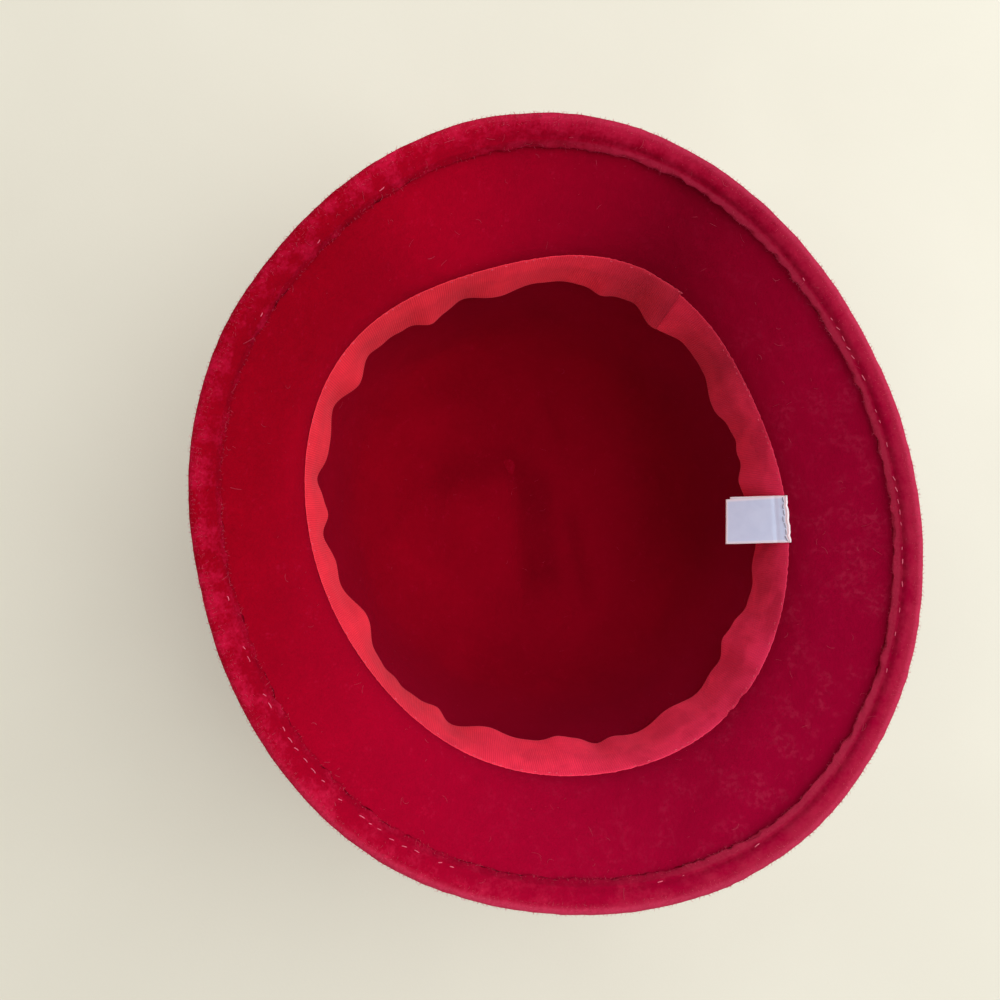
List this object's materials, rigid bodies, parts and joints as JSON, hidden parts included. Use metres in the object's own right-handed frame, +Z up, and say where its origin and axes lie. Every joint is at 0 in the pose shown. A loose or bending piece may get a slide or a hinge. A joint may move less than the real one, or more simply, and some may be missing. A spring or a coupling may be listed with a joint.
{
  "type": "cloche hat",
  "caption": "Wool felt cloche hat with a rounded crown, a flared brim with a folded and stitched hem, a ribbed ribbon sweatband and a folded label, resting on its crown.",
  "frame": {"origin": "middle of the hat's base, on the surface that the flattened tip of the crown rests on", "axes": "+Z up, out of the head opening; +Y along the long axis of the head oval"},
  "size_m": [0.2304, 0.2564, 0.1501],
  "materials": {
    "felt": "matt red wool felt with a short soft nap",
    "ribbon": "ribbed red ribbon with a slight silky sheen",
    "label_satin": "plain white satin ribbon"
  },
  "bodies": {
    "root": {"felt_body": "felt", "sweatband": "ribbon", "label": "label_satin"}
  },
  "joints": []
}
